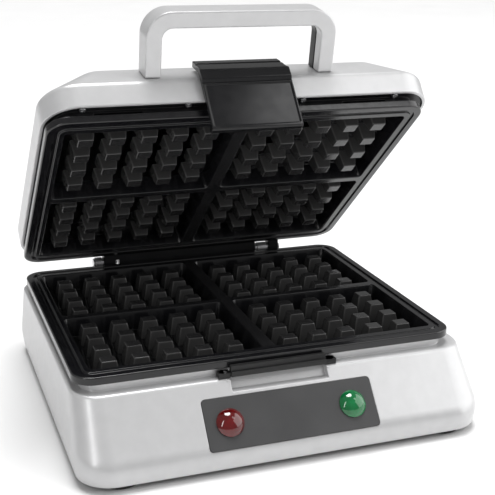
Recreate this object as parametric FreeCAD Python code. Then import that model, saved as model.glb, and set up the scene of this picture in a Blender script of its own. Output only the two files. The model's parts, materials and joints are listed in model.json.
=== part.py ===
import FreeCAD, Part
import math
import os

os.makedirs("parts", exist_ok=True)

V = FreeCAD.Vector

# All lengths in mm.  X is across the machine, the front is -Y, Z = 0 is the table.
# Everything is drawn with the lid shut and x = y = 0 at the middle of the cooking
# plates; the housing, its panel and the lid cover are centred SIDE to the right of
# that.  At the end the lid group is turned open, and the origin is moved to the
# middle of the open machine.

# ---- driving dimensions ----------------------------------------------------
OPEN_ANGLE = 41.7           # lid angle in the stored pose, degrees
HINGE_Y, HINGE_Z = 121.4, 65.0
SIDE = 3.0                  # how far the covers' middle lies to the right of the plates' middle
MIDDLE_X, MIDDLE_Y = SIDE, -5.32        # middle of the open machine

WALL = 2.5                  # moulded wall thickness
GAP = 0.4                   # between the two closed cooking plates
RIM_TOP = 66.0              # top of the lower plate's rim

# cooking plates
PLATE_X, PLATE_Y = 140.0, 111.9         # half sizes of the rim
PLATE_R = 15.0
RIM_H = 5.7
BODY_X, BODY_Y, BODY_R = 130.0, 103.5, 9.0
BODY_H = 12.0               # pan below the rim
CAVITY_H = 14.2             # rim top to cavity floor
CELL_X = (4.8, 127.3)       # one cooking section at the rim, from the plate centre
CELL_Y = (3.2, 98.0)
DRAFT = 2.7                 # how far every cavity wall and stud leans over its height
STUD_PITCH_X, STUD_PITCH_Y = 22.59, 21.32
STUD_FIRST_X, STUD_FIRST_Y = 20.9, 17.8
STUDS_X, STUDS_Y = 5, 4
STUD_X, STUD_Y, STUD_H = 5.3, 4.7, 13.0  # half sizes at the tip, and height
BOSS_X, BOSS_Y, BOSS_R, BOSS_H = 100.0, 76.0, 5.0, 7.3

# base housing: (z, half width, front y, rear y, corner radius)
HOUSING = [(4.0, 146.5, -147.0, 125.0, 24.0),
           (16.5, 148.8, -148.5, 126.0, 25.0),
           (54.5, 144.8, -116.5, 124.0, 20.0)]
LEDGE_Z = 54.5
COLLAR_X, COLLAR_Y, COLLAR_R = 134.0, 109.2, 13.0
COLLAR_TOP = 59.9

# lid cover, same columns
LID = [(76.0, 145.0, -117.0, 118.0, 26.0),
       (93.0, 145.5, -117.5, 118.5, 26.0),
       (116.0, 112.5, -99.0, 98.0, 14.0)]

# indicator panel on the sloping front
PANEL_X, PANEL_TOP, PANEL_BOTTOM = 61.7, 12.1, 47.3
LAMP_X, LAMP_DOWN, LAMP_R = 44.7, 29.7, 9.6

# latch and catch
NOTCH_X = 35.4
CATCH_X = 34.8
LATCH_X = 33.0
LATCH_Y, LATCH_Z = -109.0, 96.0
LATCH_PIN_R = 1.75

# handle
HANDLE_X, HANDLE_BAR, HANDLE_H = 69.8, 11.5, 45.7
HANDLE_FROM, HANDLE_DEPTH = 5.0, 19.0
HANDLE_OUT_R, HANDLE_IN_R = 18.5, 7.5

# hinge: (base knuckle from, to), (lid knuckle from, to) along X
HINGES = [((-78.0, -72.0), (-70.6, -61.0)),
          ((71.0, 80.0), (81.4, 91.0))]
KNUCKLE_R = 5.0
HINGE_PIN_R = 2.5

FOOT_X, FOOT_FRONT, FOOT_REAR, FOOT_R = 118.5, -129.0, 104.0, 15.0


# ---- helpers ---------------------------------------------------------------
def box(x0, x1, y0, y1, z0, z1):
    return Part.makeBox(x1 - x0, y1 - y0, z1 - z0, V(x0, y0, z0))


def rod(start, end, r):
    a, b = V(*start), V(*end)
    return Part.makeCylinder(r, (b - a).Length, a, b - a)


def ring_wire(x0, x1, y0, y1, z, r):
    """Closed rounded rectangle in a level plane."""
    k = r * (1 - math.sqrt(0.5))
    line, arc = Part.makeLine, Part.Arc
    return Part.Wire([
        line(V(x0 + r, y0, z), V(x1 - r, y0, z)),
        arc(V(x1 - r, y0, z), V(x1 - k, y0 + k, z), V(x1, y0 + r, z)).toShape(),
        line(V(x1, y0 + r, z), V(x1, y1 - r, z)),
        arc(V(x1, y1 - r, z), V(x1 - k, y1 - k, z), V(x1 - r, y1, z)).toShape(),
        line(V(x1 - r, y1, z), V(x0 + r, y1, z)),
        arc(V(x0 + r, y1, z), V(x0 + k, y1 - k, z), V(x0, y1 - r, z)).toShape(),
        line(V(x0, y1 - r, z), V(x0, y0 + r, z)),
        arc(V(x0, y0 + r, z), V(x0 + k, y0 + k, z), V(x0 + r, y0, z)).toShape()])


def slab(x0, x1, y0, y1, z0, z1, r):
    """Rounded rectangular block."""
    return Part.Face(ring_wire(x0, x1, y0, y1, z0, r)).extrude(V(0, 0, z1 - z0))


def centred_slab(x, y, z0, z1, r):
    return slab(-x, x, -y, y, z0, z1, r)


def stack(sections):
    """Solid of a cover, through rounded rectangles: (z, half width, front, rear, radius)."""
    wires = [ring_wire(SIDE - x, SIDE + x, front, rear, z, r) for z, x, front, rear, r in sections]
    return Part.makeLoft(wires, True, True)


def frustum(x0, x1, y0, y1, z0, z1, lean):
    """Rectangular block whose far end at z1 is smaller by lean on each side."""
    def outline(a, b, c, d, z):
        return Part.makePolygon([V(a, c, z), V(b, c, z), V(b, d, z), V(a, d, z), V(a, c, z)])

    near = outline(x0, x1, y0, y1, z0)
    far = outline(x0 + lean, x1 - lean, y0 + lean, y1 - lean, z1)
    return Part.makeLoft([near, far], True, True)


def prism(profile, x0, x1):
    """Profile of (y, z) points drawn out along X."""
    points = [V(x0, y, z) for y, z in profile]
    return Part.Face(Part.makePolygon(points + points[:1])).extrude(V(x1 - x0, 0, 0))


def bent_rod(points, r, bend):
    """Round rod through the points, with every corner bent to one radius."""
    pts = [V(*p) for p in points]
    edges, start = [], pts[0]
    for before, corner, after in zip(pts, pts[1:], pts[2:]):
        u, w = (before - corner).normalize(), (after - corner).normalize()
        half = u.getAngle(w) / 2
        reach = bend / math.tan(half)
        centre = corner + (u + w).normalize() * (bend / math.sin(half))
        middle = centre + (corner - centre).normalize() * bend
        edges.append(Part.makeLine(start, corner + u * reach))
        edges.append(Part.Arc(corner + u * reach, middle, corner + w * reach).toShape())
        start = corner + w * reach
    edges.append(Part.makeLine(start, pts[-1]))
    circle = Part.Wire(Part.makeCircle(r, pts[0], pts[1] - pts[0]))
    return Part.Wire(edges).makePipeShell([circle], True, True)


def placed(shape, origin, y_axis, z_axis):
    """Moves a shape drawn at the origin onto a plane that contains the X axis."""
    y, z = V(*y_axis).normalize(), V(*z_axis).normalize()
    moved = shape.copy()
    moved.transformShape(FreeCAD.Matrix(1, 0, 0, origin[0], 0, y.y, z.y, origin[1],
                                        0, y.z, z.z, origin[2], 0, 0, 0, 1))
    return moved


def corners(x, y):
    return [(sx * x, sy * y) for sx in (-1, 1) for sy in (-1, 1)]


def screw(x, y, head_z, tip_z, shank_r, head_r, head_h):
    """Pan-head screw with a cross slot; the head sits on head_z, away from the tip."""
    up = 1 if tip_z > head_z else -1
    solid = rod((x, y, head_z), (x, y, tip_z), shank_r)
    solid = solid.fuse(rod((x, y, head_z), (x, y, head_z - up * head_h), head_r))
    slot_z = sorted((head_z - up * head_h * 0.45, head_z - up * (head_h + 1)))
    long, thin = head_r * 0.6, head_r * 0.13
    solid = solid.cut(box(x - long, x + long, y - thin, y + thin, *slot_z))
    return solid.cut(box(x - thin, x + thin, y - long, y + long, *slot_z))


parts = {}


def keep(name, *solids):
    parts[name] = solids[0] if len(solids) == 1 else Part.makeCompound(list(solids))


# ---- cooking plates --------------------------------------------------------
def cooking_plate():
    """Lower plate: rim, pan, four sections and screw bosses, and its studs apart.

    Plate and studs are one casting; the studs are kept as solids of their own so
    that the batter space between them stays open in every derived shape.
    """
    bottom = RIM_TOP - RIM_H - BODY_H
    floor = RIM_TOP - CAVITY_H
    plate = centred_slab(PLATE_X, PLATE_Y, RIM_TOP - RIM_H, RIM_TOP, PLATE_R)
    plate = plate.makeFillet(0.8, [e for e in plate.Edges if abs(e.BoundBox.ZMin - RIM_TOP) < 1e-6])
    plate = plate.fuse(centred_slab(BODY_X, BODY_Y, bottom, RIM_TOP - RIM_H, BODY_R))
    groove = centred_slab(PLATE_X - 5.6, PLATE_Y - 5.6, RIM_TOP - 1.2, RIM_TOP + 1, PLATE_R - 5.6)
    groove = groove.cut(centred_slab(PLATE_X - 9.1, PLATE_Y - 9.1, RIM_TOP - 2, RIM_TOP + 2,
                                     PLATE_R - 9.1))
    plate = plate.cut(groove)
    plate = plate.fuse([rod((x, y, bottom - BOSS_H), (x, y, bottom), BOSS_R)
                        for x, y in corners(BOSS_X, BOSS_Y)])
    cells, studs = [], []
    for sx, sy in corners(1, 1):
        x0, x1 = sorted((sx * CELL_X[0], sx * CELL_X[1]))
        y0, y1 = sorted((sy * CELL_Y[0], sy * CELL_Y[1]))
        cells.append(frustum(x0, x1, y0, y1, RIM_TOP, floor, DRAFT))
        for i in range(STUDS_X):
            for j in range(STUDS_Y):
                x = sx * (STUD_FIRST_X + i * STUD_PITCH_X)
                y = sy * (STUD_FIRST_Y + j * STUD_PITCH_Y)
                bx, by = STUD_X + DRAFT, STUD_Y + DRAFT
                studs.append(frustum(x - bx, x + bx, y - by, y + by, floor, floor + STUD_H, DRAFT))
    holes = [rod((x, y, bottom - BOSS_H - 1), (x, y, bottom + 1.8), 2.05)
             for x, y in corners(BOSS_X, BOSS_Y)]
    return plate.cut(cells + holes), studs


def heating_element():
    """Sheathed heater in a W-shaped loop under the plate, both ends turned down."""
    z = RIM_TOP - RIM_H - BODY_H - 3.6
    half = [(16, 88, z - 16), (16, 88, z), (112, 88, z), (112, -88, z), (38, -88, z), (38, 46, z)]
    path = [(-x, y, level) for x, y, level in half] + half[::-1]
    return bent_rod(path, 3.4, 9.0)


def reflector():
    """Thin pan that holds the heat in behind the plate."""
    top = RIM_TOP - RIM_H - BODY_H - 0.4
    floor = top - 7.8
    pan = centred_slab(127, 100, floor, top, 8).cut(centred_slab(126.4, 99.4, floor + 0.6, top + 1, 7.4))
    holes = [rod((x, y, floor - 1), (x, y, floor + 2), 2.3) for x, y in corners(BOSS_X, BOSS_Y)]
    holes += [rod((x, 88, floor - 1), (x, 88, floor + 2), 6.6) for x in (-18, 18)]
    holes.append(rod((0, 0, floor - 1), (0, 0, floor + 2), 13.0))
    return pan.cut(holes)


def above(shape):
    """Turns a piece of the lower cooking unit over into its place in the lid."""
    return shape.mirror(V(0, 0, RIM_TOP + GAP / 2), V(0, 0, 1))


lower_plate, lower_studs = cooking_plate()
lower_heater = heating_element()
lower_reflector = reflector()
keep("lower_plate", lower_plate)
keep("lower_plate_studs", *lower_studs)
keep("lower_heating_element", lower_heater)
keep("lower_reflector", lower_reflector)

# ---- base housing ----------------------------------------------------------
(z_low, _, front_low, _, _), (z_top, _, front_top, _, _) = HOUSING[1], HOUSING[2]
SLOPE_UP = (0, front_top - front_low, z_top - z_low)
SLOPE_OUT = (0, -(z_top - z_low), front_top - front_low)
SLOPE_AT = (SIDE, front_top, z_top)


def on_front(shape):
    """Local Y runs up the sloping front from its top edge, local Z points out of it."""
    return placed(shape, SLOPE_AT, SLOPE_UP, SLOPE_OUT)


outer = stack(HOUSING)
room = stack([(3.0, 144.0, -144.5, 122.5, 21.5),
              (16.5, 146.3, -145.4, 123.5, 22.5),
              (LEDGE_Z - WALL, 142.1, -115.2, 121.5, 17.5)])
shell = outer.cut(room)
collar = centred_slab(COLLAR_X, COLLAR_Y, LEDGE_Z - WALL, COLLAR_TOP, COLLAR_R)
notch_back = prism([(-121.0, 44.8), (-115.8, 44.8), (-107.6, LEDGE_Z), (-122.0, LEDGE_Z)],
                   -NOTCH_X - WALL, NOTCH_X + WALL)
shell = shell.fuse([collar, notch_back.common(outer)])
COVER_SCREWS = [(SIDE + sx * 140.5, y) for sx in (-1, 1) for y in (-96.0, 0.0, 84.0)]
shell = shell.fuse([rod((x, y, 7.6), (x, y, 22.0), 5.0).common(outer) for x, y in COVER_SCREWS])
shell = shell.cut([rod((x, y, 7.0), (x, y, 20.0), 1.45) for x, y in COVER_SCREWS])
shell = shell.cut(centred_slab(COLLAR_X - WALL, COLLAR_Y - WALL, 40.0, COLLAR_TOP + 1, COLLAR_R - WALL))
notch = [(-126.0, 47.2), (-117.0, 47.2), (-111.2, LEDGE_Z), (-111.2, 56.0), (-126.0, 56.0)]
shell = shell.cut(prism(notch, -NOTCH_X, NOTCH_X))
pocket = on_front(slab(-PANEL_X - 0.2, PANEL_X + 0.2, -PANEL_BOTTOM - 0.2, -PANEL_TOP + 0.2, -1.4, 2, 2.7))
LAMPS = (-LAMP_X, LAMP_X)
lamp_holes = [on_front(rod((x, -LAMP_DOWN, -6), (x, -LAMP_DOWN, 2), LAMP_R - 0.6)) for x in LAMPS]
GLAND_X, GLAND_Z = 96.0, 28.0
gland_hole = rod((GLAND_X, 115, GLAND_Z), (GLAND_X, 130, GLAND_Z), 6.8)
BRACKET_SCREWS = [(x, 117.4) for x in (-87.0, -64.0, 64.0, 87.0)]
bracket_holes = [rod((x, y, 48), (x, y, 56), 1.6) for x, y in BRACKET_SCREWS]
CATCH_SCREWS = [(-39.2, -113.2), (39.2, -113.2)]
catch_holes = [rod((x, y, 46), (x, y, 56), 1.3) for x, y in CATCH_SCREWS]
shell = shell.cut([pocket, gland_hole] + lamp_holes + bracket_holes + catch_holes)
keep("lower_housing", shell)

# bottom cover with the four posts that carry the plate's tie screws
cover = slab(SIDE - 143.4, SIDE + 143.4, -143.9, 121.9, 5.2, 7.2, 21.0)
cover = cover.fuse([rod((x, y, 6), (x, y, 40.0), 5.0) for x, y in corners(BOSS_X, BOSS_Y)])
FEET = [(SIDE + sx * FOOT_X, y) for sx in (-1, 1) for y in (FOOT_FRONT, FOOT_REAR)]
cover = cover.fuse([rod((x, y, 6), (x, y, 12), 4.0) for x, y in FEET])
vents = [slab(x - 1.5, x + 1.5, y - 17, y + 17, 4, 8, 1.49) for x in range(-72, 73, 12) for y in (-60, 55)]
holes = [rod((x, y, 4), (x, y, 41), 2.2) for x, y in corners(BOSS_X, BOSS_Y)]
holes += [rod((x, y, 4), (x, y, 9), 4.6) for x, y in corners(BOSS_X, BOSS_Y)]
holes += [rod((x, y, 4), (x, y, 8), 1.7) for x, y in COVER_SCREWS]
holes += [rod((x, y, 4), (x, y, 11), 1.55) for x, y in FEET]
keep("bottom_cover", cover.cut(vents + holes))
keep("cover_screws", *[screw(x, y, 5.1, 18, 1.4, 2.9, 1.6) for x, y in COVER_SCREWS])
keep("plate_tie_screws", *[screw(x, y, 8.9, 49.4, 2.0, 4.2, 2.6) for x, y in corners(BOSS_X, BOSS_Y)])


def foot(x, y):
    solid = Part.makeCone(FOOT_R - 1, FOOT_R, 1.2, V(x, y, 0)).fuse(rod((x, y, 1.2), (x, y, 5.1), FOOT_R))
    return solid.cut([rod((x, y, -1), (x, y, 3.0), 4.0), rod((x, y, 2), (x, y, 6), 1.6)])


keep("rubber_feet", *[foot(x, y) for x, y in FEET])
keep("foot_screws", *[screw(x, y, 2.9, 10.5, 1.5, 3.4, 1.7) for x, y in FEET])

# ---- indicator panel -------------------------------------------------------
panel = slab(-PANEL_X, PANEL_X, -PANEL_BOTTOM, -PANEL_TOP, -1.3, 0.2, 2.5)
panel = panel.cut([rod((x, -LAMP_DOWN, -4), (x, -LAMP_DOWN, 2), LAMP_R - 0.6) for x in LAMPS])
keep("control_panel", on_front(panel))


def lamp_lens(x):
    """Domed lens with a flange on the panel and a skirt through it."""
    rise = 4.6
    ball = (LAMP_R ** 2 + rise ** 2) / (2 * rise)
    dome = Part.makeSphere(ball, V(x, -LAMP_DOWN, 0.9 + rise - ball))
    dome = dome.common(rod((x, -LAMP_DOWN, 0.9), (x, -LAMP_DOWN, 9), LAMP_R + 1))
    flange = rod((x, -LAMP_DOWN, 0.3), (x, -LAMP_DOWN, 0.9), LAMP_R)
    skirt = rod((x, -LAMP_DOWN, -9), (x, -LAMP_DOWN, 0.3), LAMP_R - 0.8)
    hollow = rod((x, -LAMP_DOWN, -10), (x, -LAMP_DOWN, 0.8), LAMP_R - 2.6)
    return on_front(dome.fuse([flange, skirt]).cut(hollow))


keep("red_lamp_lens", lamp_lens(-LAMP_X))
keep("green_lamp_lens", lamp_lens(LAMP_X))


def lamp_socket(x):
    """Socket clipped behind a lens, with a small glass bulb pointing out."""
    body = rod((x, -LAMP_DOWN, -21), (x, -LAMP_DOWN, -9.2), LAMP_R - 0.6)
    body = body.fuse(rod((x, -LAMP_DOWN, -9.2), (x, -LAMP_DOWN, -5.0), LAMP_R - 3.2))
    tabs = [box(x + d - 0.4, x + d + 0.4, -LAMP_DOWN - 2.4, -LAMP_DOWN + 2.4, -27, -21) for d in (-3.5, 3.5)]
    return on_front(body.fuse(tabs))


def lamp_bulb(x):
    tip = Part.makeSphere(2.6, V(x, -LAMP_DOWN, -2.3))
    return on_front(rod((x, -LAMP_DOWN, -4.9), (x, -LAMP_DOWN, -2.3), 2.6).fuse(tip))


keep("lamp_sockets", *[lamp_socket(x) for x in LAMPS])
keep("lamp_bulbs", *[lamp_bulb(x) for x in LAMPS])

# ---- catch under the rim ---------------------------------------------------
step = [(-118.4, 56.0), (-113.0, 56.0), (-113.0, 63.2), (-116.6, 63.2), (-116.6, 59.6), (-118.4, 59.6)]
bar = prism(step, -CATCH_X, CATCH_X)
for side in (-1, 1):
    x0, x1 = sorted((side * (CATCH_X - 0.1), side * 43.4))
    bar = bar.fuse(box(x0, x1, -116.2, -110.2, LEDGE_Z + 0.05, 58.6))
bar = bar.cut([rod((x, y, 54), (x, y, 58.7), 1.6) for x, y in CATCH_SCREWS])
bar = bar.cut([rod((x, y, 57.2), (x, y, 59), 2.7) for x, y in CATCH_SCREWS])
keep("catch_bar", bar)
keep("catch_screws", *[screw(x, y, 57.2, 47.5, 1.25, 2.5, 1.2) for x, y in CATCH_SCREWS])

# ---- hinge, base side ------------------------------------------------------
def on_axis(x0, x1, r):
    """Round bar on the hinge axis."""
    return rod((x0, HINGE_Y, HINGE_Z), (x1, HINGE_Y, HINGE_Z), r)


hinge_brackets, hinge_pins, washers, clips = [], [], [], []
for (base0, base1), (_, end) in HINGES:
    middle = (base0 + base1) / 2
    post = box(base0, base1, HINGE_Y - KNUCKLE_R, HINGE_Y + 2.2, LEDGE_Z + 0.05, HINGE_Z)
    foot_plate = box(middle - 15, middle + 15, 111.4, 123.6, LEDGE_Z + 0.05, 56.6)
    bracket = on_axis(base0, base1, KNUCKLE_R).fuse([post, foot_plate])
    bracket = bracket.cut(on_axis(base0 - 1, base1 + 1, HINGE_PIN_R + 0.02))
    hinge_brackets.append(bracket.cut([rod((x, y, 54), (x, y, 58), 1.6) for x, y in BRACKET_SCREWS]))
    pin = on_axis(base0 - 0.3, end + 2.2, HINGE_PIN_R).fuse(on_axis(base0 - 1.6, base0 - 0.3, 4.2))
    groove = on_axis(end + 0.4, end + 1.2, 4.0).cut(on_axis(end, end + 2, HINGE_PIN_R - 0.6))
    hinge_pins.append(pin.cut(groove))
    clip = on_axis(end + 0.45, end + 1.15, 4.0).cut(on_axis(end, end + 2, HINGE_PIN_R - 0.55))
    clips.append(clip.cut(box(end, end + 2, HINGE_Y - 1.4, HINGE_Y + 1.4, HINGE_Z - 6, HINGE_Z)))
    washer = on_axis(base1 + 0.3, base1 + 1.1, 4.6)
    washers.append(washer.cut(on_axis(base1, base1 + 2, HINGE_PIN_R + 0.1)))
keep("hinge_brackets", *hinge_brackets)
keep("hinge_pins", *hinge_pins)
keep("hinge_clips", *clips)
keep("friction_washers", *washers)
keep("bracket_screws", *[screw(x, y, 56.7, 49.0, 1.5, 2.7, 1.5) for x, y in BRACKET_SCREWS])

# ---- electrical parts in the base ------------------------------------------
gland = rod((GLAND_X, 119, GLAND_Z), (GLAND_X, 126.2, GLAND_Z), 6.6)
gland = gland.fuse(rod((GLAND_X, 126.2, GLAND_Z), (GLAND_X, 129.0, GLAND_Z), 9.0))
gland = gland.fuse(rod((GLAND_X, 117, GLAND_Z), (GLAND_X, 121.5, GLAND_Z), 8.4))
keep("cord_gland", gland.cut(rod((GLAND_X, 115, GLAND_Z), (GLAND_X, 131, GLAND_Z), 3.6)))

BLOCK_X, BLOCK_Y = 58.0, 92.0
WAYS = [BLOCK_X + d for d in (-10, 0, 10)]
TERMINALS = [(x, BLOCK_Y + d) for x in WAYS for d in (-4, 4)]
block = box(BLOCK_X - 16, BLOCK_X + 16, BLOCK_Y - 8, BLOCK_Y + 8, 7.3, 19.0)
block = block.cut([rod((x, BLOCK_Y - 9, 15), (x, BLOCK_Y + 9, 15), 1.8) for x in WAYS])
block = block.cut([rod((x, y, 13.8), (x, y, 20), 2.1) for x, y in TERMINALS])
keep("terminal_block", block)
keep("terminal_screws", *[screw(x, y, 17.6, 14.0, 1.2, 1.9, 1.0) for x, y in TERMINALS])

pan_bottom = RIM_TOP - RIM_H - BODY_H
thermostat = rod((0, 0, pan_bottom - 15), (0, 0, pan_bottom - 2.2), 10.5)
thermostat = thermostat.fuse([rod((0, 0, pan_bottom - 2.2), (0, 0, pan_bottom - 0.1), 8.0),
                              box(-12.4, 12.4, -3, 3, pan_bottom - 12.5, pan_bottom - 11)])
thermostat = thermostat.fuse([box(x - 0.6, x + 0.6, -3, 3, pan_bottom - 22, pan_bottom - 11)
                              for x in (-11.8, 11.8)])
keep("thermostat", thermostat)

# the thermal fuse hangs in a saddle under the reflector
FUSE_Y, FUSE_Z = 58.0, 35.4
saddle = box(-4, 4, FUSE_Y - 7, FUSE_Y + 7, 39.2, 40.0)
saddle = saddle.fuse(rod((-4, FUSE_Y, FUSE_Z), (4, FUSE_Y, FUSE_Z), 3.3))
saddle = saddle.fuse(box(-4, 4, FUSE_Y - 1.2, FUSE_Y + 1.2, FUSE_Z, 39.4))
body = rod((-9, FUSE_Y, FUSE_Z), (9, FUSE_Y, FUSE_Z), 2.4)
keep("thermal_fuse", saddle.fuse([body, rod((-24, FUSE_Y, FUSE_Z), (24, FUSE_Y, FUSE_Z), 0.7)]))

LEADS = [[(GLAND_X, 116, GLAND_Z), (GLAND_X, 108, GLAND_Z), (GLAND_X, 108, 15), (68, 108, 15), (68, 101, 15)],
         [(48, 82, 15), (48, 68, 15), (16, 68, 15), (16, 88, 15), (16, 88, 27)],
         [(58, 82, 15), (58, 36, 15), (11.8, 36, 15), (11.8, 0, 15), (11.8, 0, 25)],
         [(-11.8, 0, 25), (-11.8, 0, 15), (-32, 0, 15), (-32, FUSE_Y, 15), (-32, FUSE_Y, FUSE_Z),
          (-25, FUSE_Y, FUSE_Z)],
         [(68, 82, 15), (68, 70, 15), (68, 70, 23), (SIDE + LAMP_X, 70, 23),
          (SIDE + LAMP_X, -106, 23)]]
keep("base_wiring", *[bent_rod(points, 1.2, 3.0) for points in LEADS])

# ---- lid -------------------------------------------------------------------
SHOULDER_AT = (0, LID[1][2], LID[1][0])
SHOULDER_UP = (0, LID[2][2] - LID[1][2], LID[2][0] - LID[1][0])
SHOULDER_OUT = (0, -SHOULDER_UP[2], SHOULDER_UP[1])


def on_shoulder(shape):
    """Local Y runs up the lid's sloping front shoulder, local Z points out of it."""
    return placed(shape, SHOULDER_AT, SHOULDER_UP, SHOULDER_OUT)


lid_outer = stack(LID)
lid_inner = stack([(75.0, 142.5, -114.5, 115.5, 23.5),
                   (91.9, 142.9, -115.0, 116.0, 23.5),
                   (113.5, 111.8, -97.9, 96.9, 11.5)])
LID_SCREWS = [(x, -111.7) for x in (-115.5, -42.5, 42.5, 115.5)] + [(x, 112.6) for x in (-115.5, 115.5)]
lid_cover = lid_outer.cut(lid_inner)
lid_cover = lid_cover.fuse([rod((x, y, 79.7), (x, y, 98), 3.6).common(lid_outer) for x, y in LID_SCREWS])
ears = [box(x, x + 3.2, -116, -104.5, 84, 105).common(lid_outer) for x in (-31.2, 28.0)]
lid_cover = lid_cover.fuse(ears)
cuts = [rod((x, y, 79), (x, y, 93), 1.45) for x, y in LID_SCREWS]
cuts.append(rod((-40, LATCH_Y, LATCH_Z), (40, LATCH_Y, LATCH_Z), LATCH_PIN_R + 0.02))
cuts.append(box(-26.5, 26.5, -115.4, -104.2, 90, 113))
HANDLE_SCREWS = [(sx * (HANDLE_X - HANDLE_BAR / 2), HANDLE_FROM + d) for sx in (-1, 1) for d in (4.6, 14.2)]
cuts += [on_shoulder(rod((x, s, -8), (x, s, 2), 2.1)) for x, s in HANDLE_SCREWS]
keep("lid_cover", lid_cover.cut(cuts))

# black inner frame, moulded with the hinge barrel and its knuckles; the barrel is
# relieved round the end of the left hinge pin and its clip
frame = slab(SIDE - 142.1, SIDE + 142.1, -114.1, 115.1, 77.0, 79.5, 23.1)
frame = frame.fuse(centred_slab(COLLAR_X, COLLAR_Y, 72.4, 79.5, COLLAR_R))
lid_knuckles = [knuckle for _, knuckle in HINGES]
frame = frame.fuse(box(lid_knuckles[0][0], lid_knuckles[1][1], 112.4, 115.2, 68.6, 77.2))
ARM = [(112.4, 68.6), (112.4, 75.6), (117.2, 75.6), (125.4, 67.6), (HINGE_Y, 60.6), (117.4, 62.0)]
BARREL = (lid_knuckles[0][1], HINGES[1][0][0] - 2.4)
for x0, x1 in lid_knuckles + [BARREL]:
    frame = frame.fuse([prism(ARM, x0, x1), on_axis(x0, x1, KNUCKLE_R)])
frame = frame.cut(on_axis(BARREL[0], BARREL[0] + 3.6, KNUCKLE_R + 0.4))
frame = frame.cut([on_axis(x0 - 1, x1 + 1, HINGE_PIN_R + 0.06) for x0, x1 in lid_knuckles])
frame = frame.cut(centred_slab(COLLAR_X - WALL, COLLAR_Y - WALL, 60, 81, COLLAR_R - WALL))
frame = frame.cut([box(sx * 91 - 17, sx * 91 + 17, -112, -105, 72, 74.8) for sx in (-1, 1)])
frame = frame.cut([rod((x, y, 76), (x, y, 80), 1.6) for x, y in LID_SCREWS])
STRAPS_Y = (-BOSS_Y, BOSS_Y)
RIVET_X = 136.7
RIVETS = [(sx * RIVET_X, y) for sx in (-1, 1) for y in STRAPS_Y]
frame = frame.cut([rod((x, y, 76), (x, y, 80), 1.25) for x, y in RIVETS])
keep("lid_frame", frame)
keep("lid_frame_screws", *[screw(x, y, 76.95, 91, 1.4, 2.3, 1.4) for x, y in LID_SCREWS])

keep("upper_plate", above(lower_plate))
keep("upper_plate_studs", *[above(stud) for stud in lower_studs])
keep("upper_heating_element", above(lower_heater))
keep("upper_reflector", above(lower_reflector))

# steel straps over the upper cooking unit, riveted to the frame at their toes
pan_top = RIM_TOP + GAP + RIM_H + BODY_H + BOSS_H + 1.2
straps = []
for y in STRAPS_Y:
    strip = box(-134.6, 134.6, y - 6, y + 6, pan_top, pan_top + 1.2)
    for side in (-1, 1):
        leg = sorted((side * 133.4, side * 134.6))
        toe = sorted((side * 133.4, side * 138.4))
        strip = strip.fuse([box(*leg, y - 6, y + 6, 79.6, pan_top + 1.2), box(*toe, y - 6, y + 6, 79.6, 80.8)])
    strip = strip.cut([rod((x, y, pan_top - 1), (x, y, pan_top + 3), 2.3) for x in (-BOSS_X, BOSS_X)])
    straps.append(strip.cut([rod((x, y, 79), (x, y, 82), 1.25) for x in (-RIVET_X, RIVET_X)]))
keep("upper_plate_straps", *straps)
keep("upper_plate_screws", *[screw(x, y, pan_top + 1.3, 83.2, 2.0, 4.2, 2.4)
                             for x, y in corners(BOSS_X, BOSS_Y)])


def rivet(x, y):
    heads = [rod((x, y, z), (x, y, z + 0.9), 1.7) for z in (76.05, 80.85)]
    return rod((x, y, 76.4), (x, y, 81.6), 1.2).fuse(heads)


keep("strap_rivets", *[rivet(x, y) for x, y in RIVETS])

# ---- handle ----------------------------------------------------------------
def u_profile(inset_out, from_s, to_s):
    """Arch of the handle between its inner edge and inset_out inside its outer edge."""
    def top_rounded(x, y0, y1, z0, z1, r):
        block = box(-x, x, y0, y1, z0, z1)
        ridges = [e for e in block.Edges if e.BoundBox.ZMin > z1 - 1e-6 and e.BoundBox.XLength < 1e-6]
        return block.makeFillet(r, ridges)

    arch = top_rounded(HANDLE_X - inset_out, from_s, to_s, 0.15, HANDLE_H - inset_out, HANDLE_OUT_R - inset_out)
    hole = top_rounded(HANDLE_X - HANDLE_BAR, from_s - 1, to_s + 1, -20, HANDLE_H - HANDLE_BAR, HANDLE_IN_R)
    return arch.cut(hole)


handle_end = HANDLE_FROM + HANDLE_DEPTH
shell_part = u_profile(0, HANDLE_FROM, handle_end)
core_room = u_profile(2.4, HANDLE_FROM + 9.6, handle_end + 1)
front_shell = shell_part.cut(core_room)
core = u_profile(2.6, HANDLE_FROM + 9.8, handle_end - 0.4)
pilot = [rod((x, s, 0), (x, s, 13), 1.95) for x, s in HANDLE_SCREWS]
keep("handle_front_shell", on_shoulder(front_shell.cut(pilot)))
keep("handle_rear_shell", on_shoulder(core.cut(pilot)))
keep("handle_screws", *[on_shoulder(screw(x, s, -3.0, 12.4, 1.9, 3.6, 2.0)) for x, s in HANDLE_SCREWS])

# ---- latch -----------------------------------------------------------------
up = V(*SHOULDER_UP).normalize()
out = V(*SHOULDER_OUT).normalize()


def shoulder_point(s, lift):
    p = V(*SHOULDER_AT) + up * s + out * lift
    return (p.y, p.z)


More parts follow.
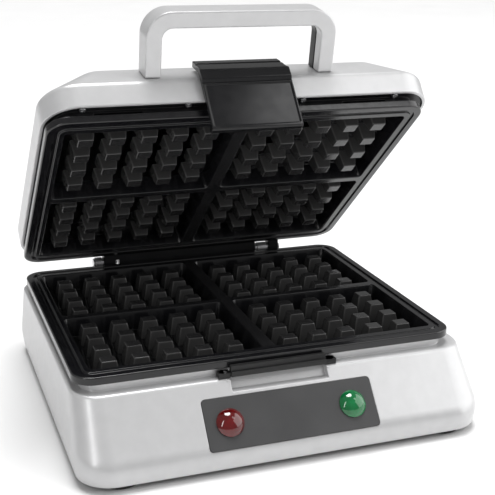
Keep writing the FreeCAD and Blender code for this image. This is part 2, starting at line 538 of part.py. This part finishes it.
face_top, face_bottom = (-122.6, 86.4), (-121.6, 50.2)
pad_back = [shoulder_point(20.5, 2.6), shoulder_point(20.5, 7.0), shoulder_point(13.0, 7.4)]
pad_groove = [shoulder_point(12.4, 6.6), shoulder_point(10.6, 6.6), shoulder_point(10.0, 7.4)]
pad_front = [shoulder_point(-1.0, 7.4), (-124.6, 90.4), (-124.6, 88.8)]
hook = [(-120.6, 49.6), (-115.6, 50.6), (-115.6, 54.4), (-116.2, 55.2), (-119.0, 55.2)]
underside = [(-119.0, 94.0), shoulder_point(2.5, 2.6)]
profile = pad_back + pad_groove + pad_front + [face_top, face_bottom] + hook + underside
latch = prism(profile, -LATCH_X, LATCH_X)
latch = latch.cut([box(side * 33 - 1.0, side * 33 + 1.0, -130, -100, 98, 120) for side in (-1, 1)])
border = prism([(-123.4, 86.0), (-122.0, 86.0), (-121.0, 50.2), (-122.4, 50.2)], -LATCH_X, LATCH_X)
latch = latch.fuse(border.cut(box(-LATCH_X + 1.6, LATCH_X - 1.6, -124, -120.9, 52.6, 84.6)))
lug_profile = [shoulder_point(6.0, 3.0), shoulder_point(16.0, 3.0), (LATCH_Y + 3.6, LATCH_Z),
               (LATCH_Y + 2.0, LATCH_Z - 3.6), (LATCH_Y - 2.0, LATCH_Z - 3.4)]
for side in (-1, 1):
    x0, x1 = sorted((side * 19.0, side * 23.0))
    latch = latch.fuse([prism(lug_profile, x0, x1), rod((x0, LATCH_Y, LATCH_Z), (x1, LATCH_Y, LATCH_Z), 4.2)])
latch = latch.cut(rod((-30, LATCH_Y, LATCH_Z), (30, LATCH_Y, LATCH_Z), LATCH_PIN_R + 0.05))
keep("latch", latch)
keep("latch_pin", rod((-31.0, LATCH_Y, LATCH_Z), (31.0, LATCH_Y, LATCH_Z), LATCH_PIN_R))

coil = Part.makeHelix(1.6, 11.2, 3.4)
section = Part.Wire(Part.makeCircle(0.5, V(3.4, 0, 0), V(0, 1, 0)))
spring = Part.Wire(coil).makePipeShell([section], True, True)
spring.Placement = FreeCAD.Placement(V(-5.6, LATCH_Y, LATCH_Z), FreeCAD.Rotation(V(0, 1, 0), 90))
keep("latch_spring", spring)

# ---- open the lid, move to the frame's origin and write every piece ---------
LID_NODES = ["lid_cover", "lid_frame", "lid_frame_screws",
             "upper_plate", "upper_plate_studs", "upper_heating_element", "upper_reflector",
             "upper_plate_straps", "upper_plate_screws", "strap_rivets",
             "handle_front_shell", "handle_rear_shell", "handle_screws",
             "latch", "latch_pin", "latch_spring"]
for name in LID_NODES:
    parts[name].rotate(V(0, HINGE_Y, HINGE_Z), V(1, 0, 0), -OPEN_ANGLE)

for name, shape in parts.items():
    shape.translate(V(-MIDDLE_X, -MIDDLE_Y, 0))
    shape.exportStep("parts/" + name + ".step")
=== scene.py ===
import json
import math

import bmesh
import bpy
from mathutils import Matrix, Vector

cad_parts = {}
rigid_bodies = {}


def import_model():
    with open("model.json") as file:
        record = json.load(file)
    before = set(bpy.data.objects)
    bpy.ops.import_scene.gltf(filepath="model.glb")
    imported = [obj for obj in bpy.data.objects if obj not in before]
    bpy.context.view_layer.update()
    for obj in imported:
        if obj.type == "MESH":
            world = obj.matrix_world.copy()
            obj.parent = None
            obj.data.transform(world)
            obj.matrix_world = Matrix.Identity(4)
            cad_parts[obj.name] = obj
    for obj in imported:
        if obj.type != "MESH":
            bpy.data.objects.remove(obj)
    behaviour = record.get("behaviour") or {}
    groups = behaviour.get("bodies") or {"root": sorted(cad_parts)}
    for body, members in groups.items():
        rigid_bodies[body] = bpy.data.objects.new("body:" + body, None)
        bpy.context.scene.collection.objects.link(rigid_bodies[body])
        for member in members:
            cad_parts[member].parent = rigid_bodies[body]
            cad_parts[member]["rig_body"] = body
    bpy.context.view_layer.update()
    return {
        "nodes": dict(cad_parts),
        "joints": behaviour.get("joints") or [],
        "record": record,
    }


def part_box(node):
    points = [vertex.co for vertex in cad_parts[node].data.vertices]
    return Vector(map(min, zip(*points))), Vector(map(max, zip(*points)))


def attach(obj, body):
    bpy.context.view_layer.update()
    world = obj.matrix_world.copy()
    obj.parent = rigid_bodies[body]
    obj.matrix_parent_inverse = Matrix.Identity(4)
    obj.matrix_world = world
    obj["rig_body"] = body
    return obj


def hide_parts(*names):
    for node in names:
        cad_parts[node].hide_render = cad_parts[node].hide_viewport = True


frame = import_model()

# Shapes are drawn in mm, and mesh_of turns them into metres; lights and the camera are
# placed in metres.  Pieces of the base are drawn about the middle of the cooking plates,
# and pieces of the lid with the lid shut; BASE and LID put them where the frame has them.
MM = 0.001
scene = bpy.context.scene
nodes = frame["nodes"]

plate_low, plate_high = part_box("lower_plate")
hinge = next(j for j in frame["joints"] if j["name"] == "lid_hinge")
axis = Vector(hinge["pos_m"])
open_angle = math.radians(-hinge["range_deg"][0])
BASE = Matrix.Translation(((plate_low.x + plate_high.x) / 2, (plate_low.y + plate_high.y) / 2, 0))
LID = (Matrix.Translation(axis) @ Matrix.Rotation(open_angle, 4, Vector(hinge["axis"]))
       @ Matrix.Translation(-axis) @ BASE)
RIM_TOP = plate_high.z / MM
GAP = 0.4                   # between the two closed cooking plates
# the covers are centred a little to the right of the plates
cover_low, cover_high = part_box("lower_housing")
SIDE = ((cover_low.x + cover_high.x) / 2 - BASE.translation.x) / MM


# ---- materials ---------------------------------------------------------------
NOISE_LOW, NOISE_HIGH = 0.3, 0.7        # noise values taken as all dark and all light
EDGE_WEAR_AND_SHEEN_FROM, EDGE_WEAR_AND_SHEEN_TO = 0.52, 0.60         # pointiness where the edge colour begins, and is full: wear on most finishes, painted highlight on the non-stick studs
ROUGH_PATCH = 0.4                       # roughness patches, as a share of the colour's
GRAIN_DEPTH = 0.3                       # height of the grain, as a share of its size


def finish(name, dark, light, patch, rough, grain, bump, edge_wear_and_sheen=None, **sockets):
    """Principled material: colour drifts from dark to light over patches, roughness
     drifts over smaller ones, and bump raises a fine grain.  The edge colour goes on its
     edges: real wear on most finishes, a painted highlight on the non-stick studs.
     Patch and grain are sizes in mm."""
    made = bpy.data.materials.new(name)
    made.use_nodes = True
    tree = made.node_tree
    shader = tree.nodes["Principled BSDF"]
    coords = tree.nodes.new("ShaderNodeTexCoord")

    def noise(size, detail):
        node = tree.nodes.new("ShaderNodeTexNoise")
        node.inputs["Scale"].default_value = 1 / (size * MM)
        node.inputs["Detail"].default_value = detail
        tree.links.new(coords.outputs["Object"], node.inputs["Vector"])
        return node.outputs["Fac"]

    def ramp(fac, stops):
        node = tree.nodes.new("ShaderNodeValToRGB")
        for stop, (at, colour) in zip(node.color_ramp.elements, stops):
            stop.position, stop.color = at, (*colour, 1)
        tree.links.new(fac, node.inputs["Fac"])
        return node.outputs["Color"]

    colour = ramp(noise(patch, 4), ((NOISE_LOW, dark), (NOISE_HIGH, light)))
    # edge colour from pointiness: real wear on most finishes, a painted highlight on the non-stick coating
    if edge_wear_and_sheen:
        edges = tree.nodes.new("ShaderNodeNewGeometry").outputs["Pointiness"]
        mask = ramp(edges, ((EDGE_WEAR_AND_SHEEN_FROM, (0, 0, 0)), (EDGE_WEAR_AND_SHEEN_TO, (1, 1, 1))))
        mix = tree.nodes.new("ShaderNodeMix")
        mix.data_type = "RGBA"
        tree.links.new(mask, mix.inputs["Factor"])
        tree.links.new(colour, mix.inputs["A"])
        mix.inputs["B"].default_value = (*edge_wear_and_sheen, 1)
        colour = mix.outputs["Result"]
    tree.links.new(colour, shader.inputs["Base Color"])

    spread = tree.nodes.new("ShaderNodeMapRange")
    for socket, value in zip(("From Min", "From Max", "To Min", "To Max"), (NOISE_LOW, NOISE_HIGH, *rough)):
        spread.inputs[socket].default_value = value
    tree.links.new(noise(patch * ROUGH_PATCH, 5), spread.inputs["Value"])
    tree.links.new(spread.outputs["Result"], shader.inputs["Roughness"])

    raised = tree.nodes.new("ShaderNodeBump")
    raised.inputs["Strength"].default_value = bump
    raised.inputs["Distance"].default_value = grain * MM * GRAIN_DEPTH
    tree.links.new(noise(grain, 2), raised.inputs["Height"])
    tree.links.new(raised.outputs["Normal"], shader.inputs["Normal"])
    for socket, value in sockets.items():
        shader.inputs[socket.replace("_", " ")].default_value = value
    return made


SILVER = finish("silver_paint", (0.535, 0.535, 0.54), (0.565, 0.565, 0.57), 9, (0.30, 0.35), 0.35, 0.08,
                Metallic=0.28, Coat_Weight=0.12, Coat_Roughness=0.2)
BLACK = finish("black_moulding", (0.004, 0.004, 0.0045), (0.008, 0.008, 0.009), 14, (0.28, 0.36),
               0.5, 0.06, edge_wear_and_sheen=(0.02, 0.02, 0.02), Specular_IOR_Level=0.25)
LATCH = finish("latch_moulding", (0.005, 0.005, 0.006), (0.008, 0.008, 0.009), 20, (0.10, 0.16),
               0.5, 0.01, edge_wear_and_sheen=(0.025, 0.025, 0.025), Specular_IOR_Level=0.35)
# the light edge colour of the non-stick coating is a painted highlight on the stud tips and edges, not wear
NONSTICK = finish("nonstick_coating", (0.004, 0.004, 0.005), (0.009, 0.009, 0.010), 9, (0.14, 0.22),
                  0.6, 0.03, edge_wear_and_sheen=(0.12, 0.118, 0.115), Specular_IOR_Level=0.5)
PANEL = finish("panel_foil", (0.042, 0.042, 0.043), (0.052, 0.052, 0.053), 25, (0.44, 0.52), 0.3, 0.03,
               Specular_IOR_Level=0.35)
RED = finish("red_lens", (0.07, 0.001, 0.001), (0.13, 0.002, 0.003), 12, (0.04, 0.08), 1.5, 0.02,
             Coat_Weight=0.5, Coat_Roughness=0.03, Subsurface_Weight=0.2, Subsurface_Scale=0.003)
GREEN = finish("green_lens", (0.001, 0.10, 0.027), (0.003, 0.18, 0.05), 12, (0.04, 0.08), 1.5, 0.02,
               Coat_Weight=0.5, Coat_Roughness=0.03, Subsurface_Weight=0.2, Subsurface_Scale=0.003)
STEEL = finish("plated_steel", (0.42, 0.42, 0.43), (0.60, 0.60, 0.61), 3, (0.22, 0.38), 0.4, 0.15,
               Metallic=1.0)
SPRING = finish("spring_steel", (0.30, 0.30, 0.31), (0.46, 0.46, 0.47), 2, (0.20, 0.34), 0.3, 0.15,
                Metallic=1.0)
SHEATH = finish("heater_sheath", (0.07, 0.06, 0.05), (0.20, 0.18, 0.16), 8, (0.42, 0.62), 0.5, 0.3,
                Metallic=0.9)
REFLECTOR = finish("mill_sheet", (0.55, 0.55, 0.56), (0.70, 0.70, 0.71), 12, (0.28, 0.44), 0.8, 0.15,
                   Metallic=1.0)
HINGE = finish("die_cast", (0.26, 0.26, 0.27), (0.40, 0.40, 0.41), 5, (0.34, 0.50), 0.5, 0.3,
               edge_wear_and_sheen=(0.55, 0.55, 0.55), Metallic=0.9)
BULB = finish("bulb_glass", (0.85, 0.85, 0.85), (0.95, 0.95, 0.93), 5, (0.02, 0.06), 1.0, 0.03,
              Transmission_Weight=0.9)
SOCKET = finish("socket_resin", (0.48, 0.46, 0.40), (0.60, 0.57, 0.50), 6, (0.45, 0.60), 0.4, 0.25)
CERAMIC = finish("steatite", (0.68, 0.66, 0.60), (0.80, 0.78, 0.72), 6, (0.30, 0.50), 0.4, 0.2)
SLEEVE = finish("silicone_sleeve", (0.30, 0.03, 0.02), (0.45, 0.06, 0.04), 6, (0.50, 0.65), 0.4, 0.3)
RUBBER = finish("foot_rubber", (0.012, 0.012, 0.012), (0.024, 0.024, 0.023), 5, (0.65, 0.80), 0.5, 0.5)

SLOTS = {"silver_plastic": SILVER, "black_plastic": BLACK, "nonstick": NONSTICK, "steel": STEEL,
         "spring_steel": SPRING, "heater_sheath": SHEATH, "reflector_metal": REFLECTOR, "hinge_metal": HINGE,
         "panel_grey": PANEL, "red_lens": RED, "green_lens": GREEN, "bulb_glass": BULB,
         "socket_plastic": SOCKET, "ceramic": CERAMIC, "wire_sleeve": SLEEVE, "foot_rubber": RUBBER}
slot_of = {part["node"]: part["material_slot"] for part in frame["record"]["subparts"]}


# ---- mesh helpers --------------------------------------------------------------
ROUNDING_SEGMENTS = 3
CORNER_STEPS = 12           # faces round one corner of a section
EASE_STEPS = 6              # sections that round one bend of a path


def add(name, mesh):
    """New object in the scene."""
    obj = bpy.data.objects.new(name, mesh)
    scene.collection.objects.link(obj)
    return obj


def mesh_of(name, bm, place=None):
    """Mesh in metres from a bmesh in mm, put in its place."""
    bmesh.ops.recalc_face_normals(bm, faces=bm.faces)
    mesh = bpy.data.meshes.new(name)
    bm.to_mesh(mesh)
    bm.free()
    mesh.transform(Matrix.Scale(MM, 4))
    if place is not None:
        mesh.transform(place)
        if place.determinant() < 0:
            mesh.flip_normals()
    return mesh


def rounded(obj, width, angle=32):
    """Rounds every edge sharper than angle, width in mm, and shades smooth."""
    obj.data.shade_smooth()
    bevel = obj.modifiers.new("rounding", "BEVEL")
    bevel.width, bevel.segments = width * MM, ROUNDING_SEGMENTS
    bevel.limit_method, bevel.angle_limit = "ANGLE", math.radians(angle)
    bevel.use_clamp_overlap = False
    bevel.miter_outer = "MITER_ARC"
    even = obj.modifiers.new("even_normals", "WEIGHTED_NORMAL")
    even.weight, even.keep_sharp = 100, False
    return obj


def piece(obj, material, body, slot, *replaced):
    """Gives a piece its material and body, and hides the CAD nodes that it stands for; slot is not used."""
    obj.data.materials.clear()
    obj.data.materials.append(material)
    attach(obj, body)
    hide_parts(*replaced)
    return obj


def refined(node, width, material=None):
    """Stands for a CAD node: its shape with flat faces joined and edges rounded."""
    bm = bmesh.new()
    bm.from_mesh(nodes[node].data)
    bmesh.ops.remove_doubles(bm, verts=bm.verts, dist=3e-6)
    bmesh.ops.dissolve_limit(bm, angle_limit=math.radians(0.4), verts=bm.verts, edges=bm.edges)
    mesh = bpy.data.meshes.new(node + "_refined")
    bm.to_mesh(mesh)
    bm.free()
    obj = rounded(add(node + "_refined", mesh), width)
    slot = slot_of[node]
    return piece(obj, material or SLOTS[slot], nodes[node]["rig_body"], slot, node)


def ring(z, x, front, rear, r, middle):
    """Points round a rectangle with rounded corners: half width x about middle, radius r."""
    points = []
    for cx, cy, turn in ((middle + x - r, front + r, -90), (middle + x - r, rear - r, 0),
                         (middle + r - x, rear - r, 90), (middle + r - x, front + r, 180)):
        for i in range(CORNER_STEPS + 1):
            a = math.radians(turn + 90 * i / CORNER_STEPS)
            points.append((cx + r * math.cos(a), cy + r * math.sin(a), z))
    return points


def eased(path):
    """Rounds the bends of a path of sections (z, half width, front, rear, corner radius,
    middle, rounding)."""
    def towards(here, there, reach):
        far = max(math.hypot(there[0] - here[0], there[i] - here[i]) for i in (1, 2))
        return [a + (b - a) * reach / far for a, b in zip(here, there)]

    out = []
    for i, (*here, reach) in enumerate(path):
        if not reach:
            out.append(here)
            continue
        before = towards(here, path[i - 1][:-1], reach)
        after = towards(here, path[(i + 1) % len(path)][:-1], reach)
        for k in range(EASE_STEPS + 1):
            t = k / EASE_STEPS
            out.append([(1 - t) ** 2 * a + 2 * t * (1 - t) * h + t * t * b
                        for a, h, b in zip(before, here, after)])
    return out


def skinned(path, closed):
    """Skin over rounded rectangles, joined end to end or capped at both ends."""
    bm = bmesh.new()
    loops = [[bm.verts.new(p) for p in ring(*section)] for section in eased(path)]
    for a, b in zip(loops, loops[1:] + loops[:1] if closed else loops[1:]):
        for i in range(len(a)):
            bm.faces.new((a[i - 1], a[i], b[i], b[i - 1]))
    if not closed:
        bm.faces.new(loops[0])
        bm.faces.new(loops[-1])
    bmesh.ops.recalc_face_normals(bm, faces=bm.faces)
    return bm


def prism(bm, profile, x0, x1):
    """Adds a closed profile of (y, z) points drawn out along X."""
    near = [bm.verts.new((x0, y, z)) for y, z in profile]
    far = [bm.verts.new((x1, y, z)) for y, z in profile]
    bm.faces.new(near)
    bm.faces.new(far[::-1])
    for i in range(len(near)):
        bm.faces.new((near[i - 1], near[i], far[i], far[i - 1]))


def block(bm, low, high, lean=0.0, corner=0.0):
    """Adds a block whose top is smaller by lean on each side, its four upright edges rounded."""
    (x0, y0, z0), (x1, y1, z1) = low, high
    base = [bm.verts.new(p) for p in ((x0, y0, z0), (x1, y0, z0), (x1, y1, z0), (x0, y1, z0))]
    x0, x1, y0, y1 = x0 + lean, x1 - lean, y0 + lean, y1 - lean
    top = [bm.verts.new(p) for p in ((x0, y0, z1), (x1, y0, z1), (x1, y1, z1), (x0, y1, z1))]
    bm.faces.new(base[::-1])
    bm.faces.new(top)
    for i in range(4):
        bm.faces.new((base[i - 1], base[i], top[i], top[i - 1]))
    if corner:
        upright = [bm.edges.get((a, b)) for a, b in zip(base, top)]
        bmesh.ops.bevel(bm, geom=upright, offset=corner, segments=4, profile=0.5, affect="EDGES")


def cut(obj, tool_bm, place, operation="DIFFERENCE"):
    """Cuts a tool drawn in mm out of the piece, or joins it on."""
    tool = add("tool", mesh_of("tool", tool_bm, place))
    change = obj.modifiers.new("cut", "BOOLEAN")
    change.object, change.operation, change.solver = tool, operation, "EXACT"
    made = bpy.data.meshes.new_from_object(obj.evaluated_get(bpy.context.evaluated_depsgraph_get()))
    obj.modifiers.remove(change)
    made.name, obj.data = obj.data.name, made
    bpy.data.objects.remove(tool)


# ---- base housing ----------------------------------------------------------------
SKIRT_Z, WIDEST_Z, DECK_Z, NECK_Z = 4.0, 16.5, 54.5, 59.9
DECK_FRONT, WIDEST_FRONT = -116.5, -148.5
NOTCH_X, NOTCH_BACKING = 35.4, 2.5      # half width of the latch notch, and the wall beside it
PANEL_LOW, PANEL_HIGH = (-61.9, -47.5, -1.4), (61.9, -11.9, 3.0)    # pocket, down the sloped front
PANEL_CORNER = 2.7
FRONT_TOP, FRONT_LOW = Vector((SIDE, DECK_FRONT, DECK_Z)), Vector((SIDE, WIDEST_FRONT, WIDEST_Z))
up_front = (FRONT_TOP - FRONT_LOW).normalized()
out_front = Vector((1, 0, 0)).cross(up_front)
ON_FRONT = Matrix.Translation(FRONT_TOP * MM) @ Matrix(((1, 0, 0), up_front, out_front)).transposed().to_4x4()

housing = add("housing_shell", mesh_of("housing_shell", skinned([
    (SKIRT_Z, 146.5, -147.0, 125.0, 24.0, SIDE, 1.0),
    (WIDEST_Z, 148.8, WIDEST_FRONT, 126.0, 25.0, SIDE, 7.5),
    (DECK_Z, 144.8, DECK_FRONT, 124.0, 20.0, SIDE, 2.4),
    (DECK_Z, 134.0, -109.2, 109.2, 13.0, 0, 0.9),
    (NECK_Z, 134.0, -109.2, 109.2, 13.0, 0, 0.5),
    (NECK_Z, 131.5, -106.7, 106.7, 10.5, 0, 0.5),
    (DECK_Z - 2.5, 131.5, -106.7, 106.7, 10.5, 0, 0),
    (DECK_Z - 2.5, 142.1, -115.2, 121.5, 17.5, SIDE, 0),
    (WIDEST_Z, 146.3, -145.4, 123.5, 22.5, SIDE, 0),
    (SKIRT_Z, 144.0, -144.5, 122.5, 21.5, SIDE, 0.5)], True), BASE))
backing = bmesh.new()
prism(backing, [(-121.4, 44.8), (-115.8, 44.8), (-107.9, 54.0), (-118.0, 54.0)],
      -NOTCH_X - NOTCH_BACKING, NOTCH_X + NOTCH_BACKING)
cut(housing, backing, BASE, "UNION")
notch = bmesh.new()
prism(notch, [(-126.0, 47.2), (-117.0, 47.2), (-111.2, DECK_Z), (-111.2, 57.0), (-126.0, 57.0)],
      -NOTCH_X, NOTCH_X)
cut(housing, notch, BASE)
pocket = bmesh.new()
block(pocket, PANEL_LOW, PANEL_HIGH, 0, PANEL_CORNER)
cut(housing, pocket, BASE @ ON_FRONT)
piece(rounded(housing, 0.5, 38), SILVER, "base", "silver_plastic", "lower_housing")


# ---- cooking plates ----------------------------------------------------------------
CELL_X, CELL_Y = (4.7, 127.4), (3.1, 98.1)      # one section at the rim, from the plate's middle
CELL_DEPTH, CELL_LEAN, CELL_CORNER = 14.2, 2.8, 3.0
RIM_DEPTH, PAN_DEPTH, GROOVE_DEPTH = 5.7, 17.7, 1.2
STUDS_X, STUDS_Y = 5, 4
STUD_FIRST_X, STUD_FIRST_Y = 20.9, 17.8
STUD_PITCH_X, STUD_PITCH_Y = 22.59, 21.32
STUD_X, STUD_Y, STUD_H = 8.0, 7.4, 13.0         # half sizes at the foot, and height
STUD_LEAN, STUD_CORNER, STUD_ROOT = 2.7, 1.1, 0.3


def cooking_plate(name, flip, place, body):
    """Rim with a sealing groove, four studded sections, every edge rounded."""
    half_x, half_y = (plate_high.x - plate_low.x) / 2 / MM, (plate_high.y - plate_low.y) / 2 / MM
    floor = RIM_TOP - CELL_DEPTH

    def section(z, inset, r, rounding):
        return z, half_x - inset, inset - half_y, half_y - inset, r, 0, rounding

    body_mesh = skinned([
        section(RIM_TOP, 11.0, 4.0, 0), section(RIM_TOP, 9.1, 5.9, 0.4),
        section(RIM_TOP - GROOVE_DEPTH, 8.6, 6.4, 0.4), section(RIM_TOP - GROOVE_DEPTH, 6.1, 8.9, 0.4),
        section(RIM_TOP, 5.6, 9.4, 0.4), section(RIM_TOP, 0, 15.0, 1.3),
        section(RIM_TOP - RIM_DEPTH, 0.0, 15.0, 0.8), section(RIM_TOP - RIM_DEPTH, 8.4, 9.0, 0),
        section(RIM_TOP - PAN_DEPTH, 8.4, 9.0, 1.0), section(RIM_TOP - PAN_DEPTH, 20.0, 5.0, 0)], False)
    obj = add(name, mesh_of(name, body_mesh, place @ flip))
    cells, studs = bmesh.new(), bmesh.new()
    for sx in (-1, 1):
        for sy in (-1, 1):
            x0, x1 = sorted(sx * x for x in CELL_X)
            y0, y1 = sorted(sy * y for y in CELL_Y)
            block(cells, (x0, y0, RIM_TOP + 0.5), (x1, y1, floor), CELL_LEAN, CELL_CORNER)
            for i in range(STUDS_X):
                for j in range(STUDS_Y):
                    x, y = sx * (STUD_FIRST_X + STUD_PITCH_X * i), sy * (STUD_FIRST_Y + STUD_PITCH_Y * j)
                    block(studs, (x - STUD_X, y - STUD_Y, floor - STUD_ROOT),
                          (x + STUD_X, y + STUD_Y, floor + STUD_H), STUD_LEAN, STUD_CORNER)
    cut(obj, cells, place @ flip)
    stud_mesh = mesh_of("studs", studs, place @ flip)
    joined = bmesh.new()
    joined.from_mesh(obj.data)
    joined.from_mesh(stud_mesh)
    bmesh.ops.recalc_face_normals(joined, faces=joined.faces)
    joined.to_mesh(obj.data)
    joined.free()
    piece(rounded(obj, 0.75, 34), NONSTICK, body, "nonstick", name, name + "_studs")
    obj.name = name + "_coated"


UPSIDE_DOWN = Matrix.Translation((0, 0, (2 * RIM_TOP + GAP) * MM)) @ Matrix.Scale(-1, 4, (0, 0, 1))
cooking_plate("lower_plate", Matrix.Identity(4), BASE, "base")
cooking_plate("upper_plate", UPSIDE_DOWN, LID, "lid")

# ---- lid cover ---------------------------------------------------------------------
LID_TOP, LID_SHOULDER, LID_LOW = 116.0, 93.0, 76.0
lid = add("lid_shell", mesh_of("lid_shell", skinned([
    (LID_TOP, 102.5, -89.0, 88.0, 8.0, SIDE, 0),
    (LID_TOP, 112.5, -99.0, 98.0, 14.0, SIDE, 4.0),
    (LID_SHOULDER, 145.5, -117.5, 118.5, 26.0, SIDE, 2.6),
    (LID_LOW, 145.0, -117.0, 118.0, 26.0, SIDE, 0.8),
    (LID_LOW, 142.5, -114.5, 115.5, 23.5, SIDE, 0.5),
    (91.9, 142.9, -115.0, 116.0, 23.5, SIDE, 0),
    (113.5, 111.8, -97.9, 96.9, 11.5, SIDE, 0)], False), LID))
window = bmesh.new()
block(window, (-26.5, -115.4, 90.0), (26.5, -104.2, 113.0))
cut(lid, window, LID)
piece(rounded(lid, 0.4, 38), SILVER, "lid", "silver_plastic", "lid_cover")

# ---- the rest, edges rounded to what each moulding has --------------------------------
ROUNDINGS = {"lid_frame": 0.7, "handle_front_shell": 1.3, "handle_rear_shell": 0.8, "catch_bar": 0.4,
             "control_panel": 0.12, "bottom_cover": 0.4, "rubber_feet": 0.7, "cord_gland": 0.6,
             "hinge_brackets": 0.6, "hinge_pins": 0.25, "friction_washers": 0.1, "hinge_clips": 0.12,
             "lid_frame_screws": 0.2, "catch_screws": 0.15, "bracket_screws": 0.15, "cover_screws": 0.15,
             "foot_screws": 0.15}
for node, width in ROUNDINGS.items():
    refined(node, width)
refined("latch", 0.6, LATCH)
for node, obj in nodes.items():
    obj.data.materials.clear()
    obj.data.materials.append(SLOTS[slot_of[node]])

# ---- floor, light and camera -----------------------------------------------------------
FLOOR_R = 6000
CAMERA_AT = (-0.241054, -0.708828, 0.346251)    # metres, from the middle of the cooking plates
YAW, PITCH, ROLL = 0.351, 0.307, 0.014          # radians
LENS, SENSOR = 73.83, 36.0

floor_bm = bmesh.new()
bmesh.ops.create_circle(floor_bm, cap_ends=True, radius=FLOOR_R, segments=96)
floor = add("studio_floor", mesh_of("studio_floor", floor_bm))
floor.data.materials.append(finish("pale_floor", (0.80, 0.80, 0.80), (0.82, 0.82, 0.82), 300,
                                   (0.55, 0.65), 2.0, 0.02))


def softbox(name, at, size, power, target=(0, 0, 0.12)):
    """Rectangular studio light turned to its target, in metres and watts."""
    data = bpy.data.lights.new(name, "AREA")
    data.shape, data.size, data.size_y, data.energy = "RECTANGLE", *size, power
    lamp = bpy.data.objects.new(name, data)
    scene.collection.objects.link(lamp)
    lamp.location = at
    lamp.rotation_euler = (Vector(at) - Vector(target)).to_track_quat("Z", "Y").to_euler()
    lamp.visible_camera = False


softbox("key", (2.3, -0.7, 1.3), (3.4, 2.6), 58)
softbox("top", (1.30, -0.95, 2.50), (0.5, 0.7), 3.5)
softbox("corner_strip", (-1.8, -1.30, 1.40), (0.20, 1.7), 11)
overhead = bpy.data.lights.new("overhead", "SUN")
overhead.energy, overhead.angle = 3.0, math.radians(28)
overhead_lamp = bpy.data.objects.new("overhead", overhead)
scene.collection.objects.link(overhead_lamp)
overhead_lamp.rotation_euler = (math.radians(-13), math.radians(3), 0)

world = bpy.data.worlds.new("studio")
world.use_nodes = True
world.node_tree.nodes["Background"].inputs["Color"].default_value = (1, 1, 1, 1)
world.node_tree.nodes["Background"].inputs["Strength"].default_value = 0.3
scene.world = world
scene.view_settings.view_transform = "Standard"

ahead = Vector((math.sin(YAW) * math.cos(PITCH), math.cos(YAW) * math.cos(PITCH), -math.sin(PITCH)))
side = ahead.cross(Vector((0, 0, 1))).normalized()
above = side.cross(ahead)
right = side * math.cos(ROLL) + above * math.sin(ROLL)
upward = above * math.cos(ROLL) - side * math.sin(ROLL)
camera_data = bpy.data.cameras.new("camera")
camera_data.lens, camera_data.sensor_width = LENS, SENSOR
camera = bpy.data.objects.new("camera", camera_data)
scene.collection.objects.link(camera)
camera.matrix_world = (BASE @ Matrix.Translation(CAMERA_AT)
                       @ Matrix((right, upward, -ahead)).transposed().to_4x4())
scene.camera = camera
